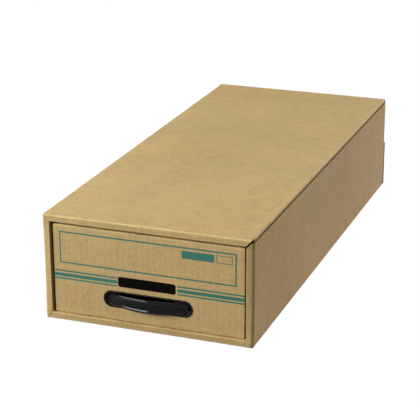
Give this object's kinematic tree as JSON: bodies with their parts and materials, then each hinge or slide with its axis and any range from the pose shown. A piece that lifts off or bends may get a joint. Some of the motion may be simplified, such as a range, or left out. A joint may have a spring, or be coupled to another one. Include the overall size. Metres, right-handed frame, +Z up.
{
  "type": "file box with drawer",
  "caption": "Long low cardboard file box: an open-front shell of folded kraft board holding one pull-out drawer with a bowed black plastic grip.",
  "frame": {"origin": "middle of the shell's footprint, at its underside", "axes": "+Y from the drawer's front to the closed back, +Z up, +X to the right seen from the front"},
  "size_m": [0.268, 0.6422, 0.136],
  "materials": {
    "kraft_board": "matt brown corrugated board with faint flute lines",
    "black_plastic": "glossy black moulded plastic"
  },
  "bodies": {
    "shell": {"shell_top": "kraft_board", "shell_left_side": "kraft_board", "shell_bottom": "kraft_board", "shell_right_side": "kraft_board", "shell_joint_flap": "kraft_board", "shell_rim_top": "kraft_board", "shell_rim_left": "kraft_board", "shell_rim_right": "kraft_board", "shell_rim_bottom": "kraft_board", "shell_back_flap_upper": "kraft_board", "shell_back_flap_lower": "kraft_board", "shell_dust_flap_left": "kraft_board", "shell_dust_flap_right": "kraft_board"},
    "drawer": {"drawer_bottom": "kraft_board", "drawer_left_side": "kraft_board", "drawer_right_side": "kraft_board", "drawer_front": "kraft_board", "drawer_front_lining": "kraft_board", "drawer_back": "kraft_board", "drawer_back_lining": "kraft_board", "drawer_corner_flap_front_left": "kraft_board", "drawer_corner_flap_front_right": "kraft_board", "drawer_corner_flap_back_left": "kraft_board", "drawer_corner_flap_back_right": "kraft_board", "handle_bezel": "black_plastic", "handle_grip": "black_plastic"}
  },
  "joints": [
    {"name": "drawer_slide", "type": "slide", "parent": "shell", "child": "drawer", "axis": [0, -1, 0], "range_m": [0, 0.525]}
  ]
}
